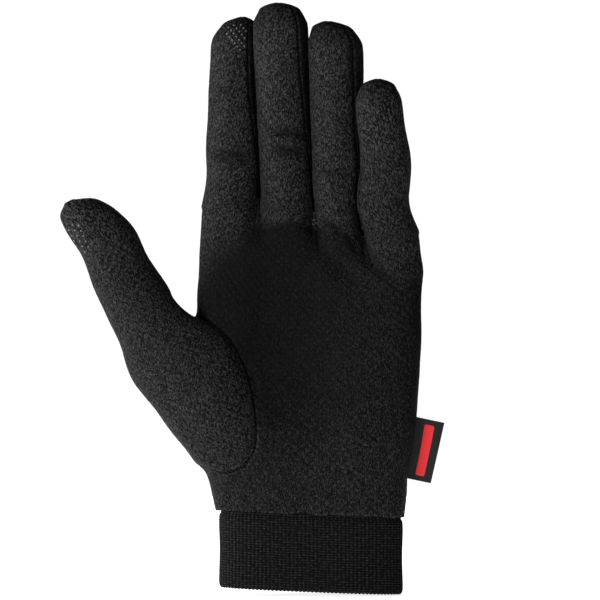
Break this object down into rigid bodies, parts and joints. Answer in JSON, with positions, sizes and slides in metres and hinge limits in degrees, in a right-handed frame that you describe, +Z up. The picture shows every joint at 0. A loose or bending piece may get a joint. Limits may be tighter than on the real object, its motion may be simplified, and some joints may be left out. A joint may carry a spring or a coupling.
{
  "type": "running glove",
  "caption": "Thin knitted running glove for the left hand, with a set-in thumb, strips between the fingers, a double rib cuff and a small tab in the side seam.",
  "frame": {"origin": "centre of the mouth of the cuff, where the hand goes in", "axes": "+Z up along the hand to the fingertips, -Y out of the palm, -X towards the thumb"},
  "size_m": [0.1526, 0.0405, 0.2372],
  "materials": {
    "knit": "fine stretch knit, brushed, matt with a slight sheen",
    "rib": "1x1 rib knit, matt",
    "label": "woven tape, black with a plain red bar",
    "thread": "polyester sewing thread",
    "grip": "printed conductive dots"
  },
  "bodies": {
    "root": {"palm_panel": "knit", "back_panel": "knit", "fourchette_index_middle": "knit", "fourchette_middle_ring": "knit", "fourchette_ring_little": "knit", "thumb": "knit", "cuff": "rib", "side_label": "label"}
  },
  "joints": []
}
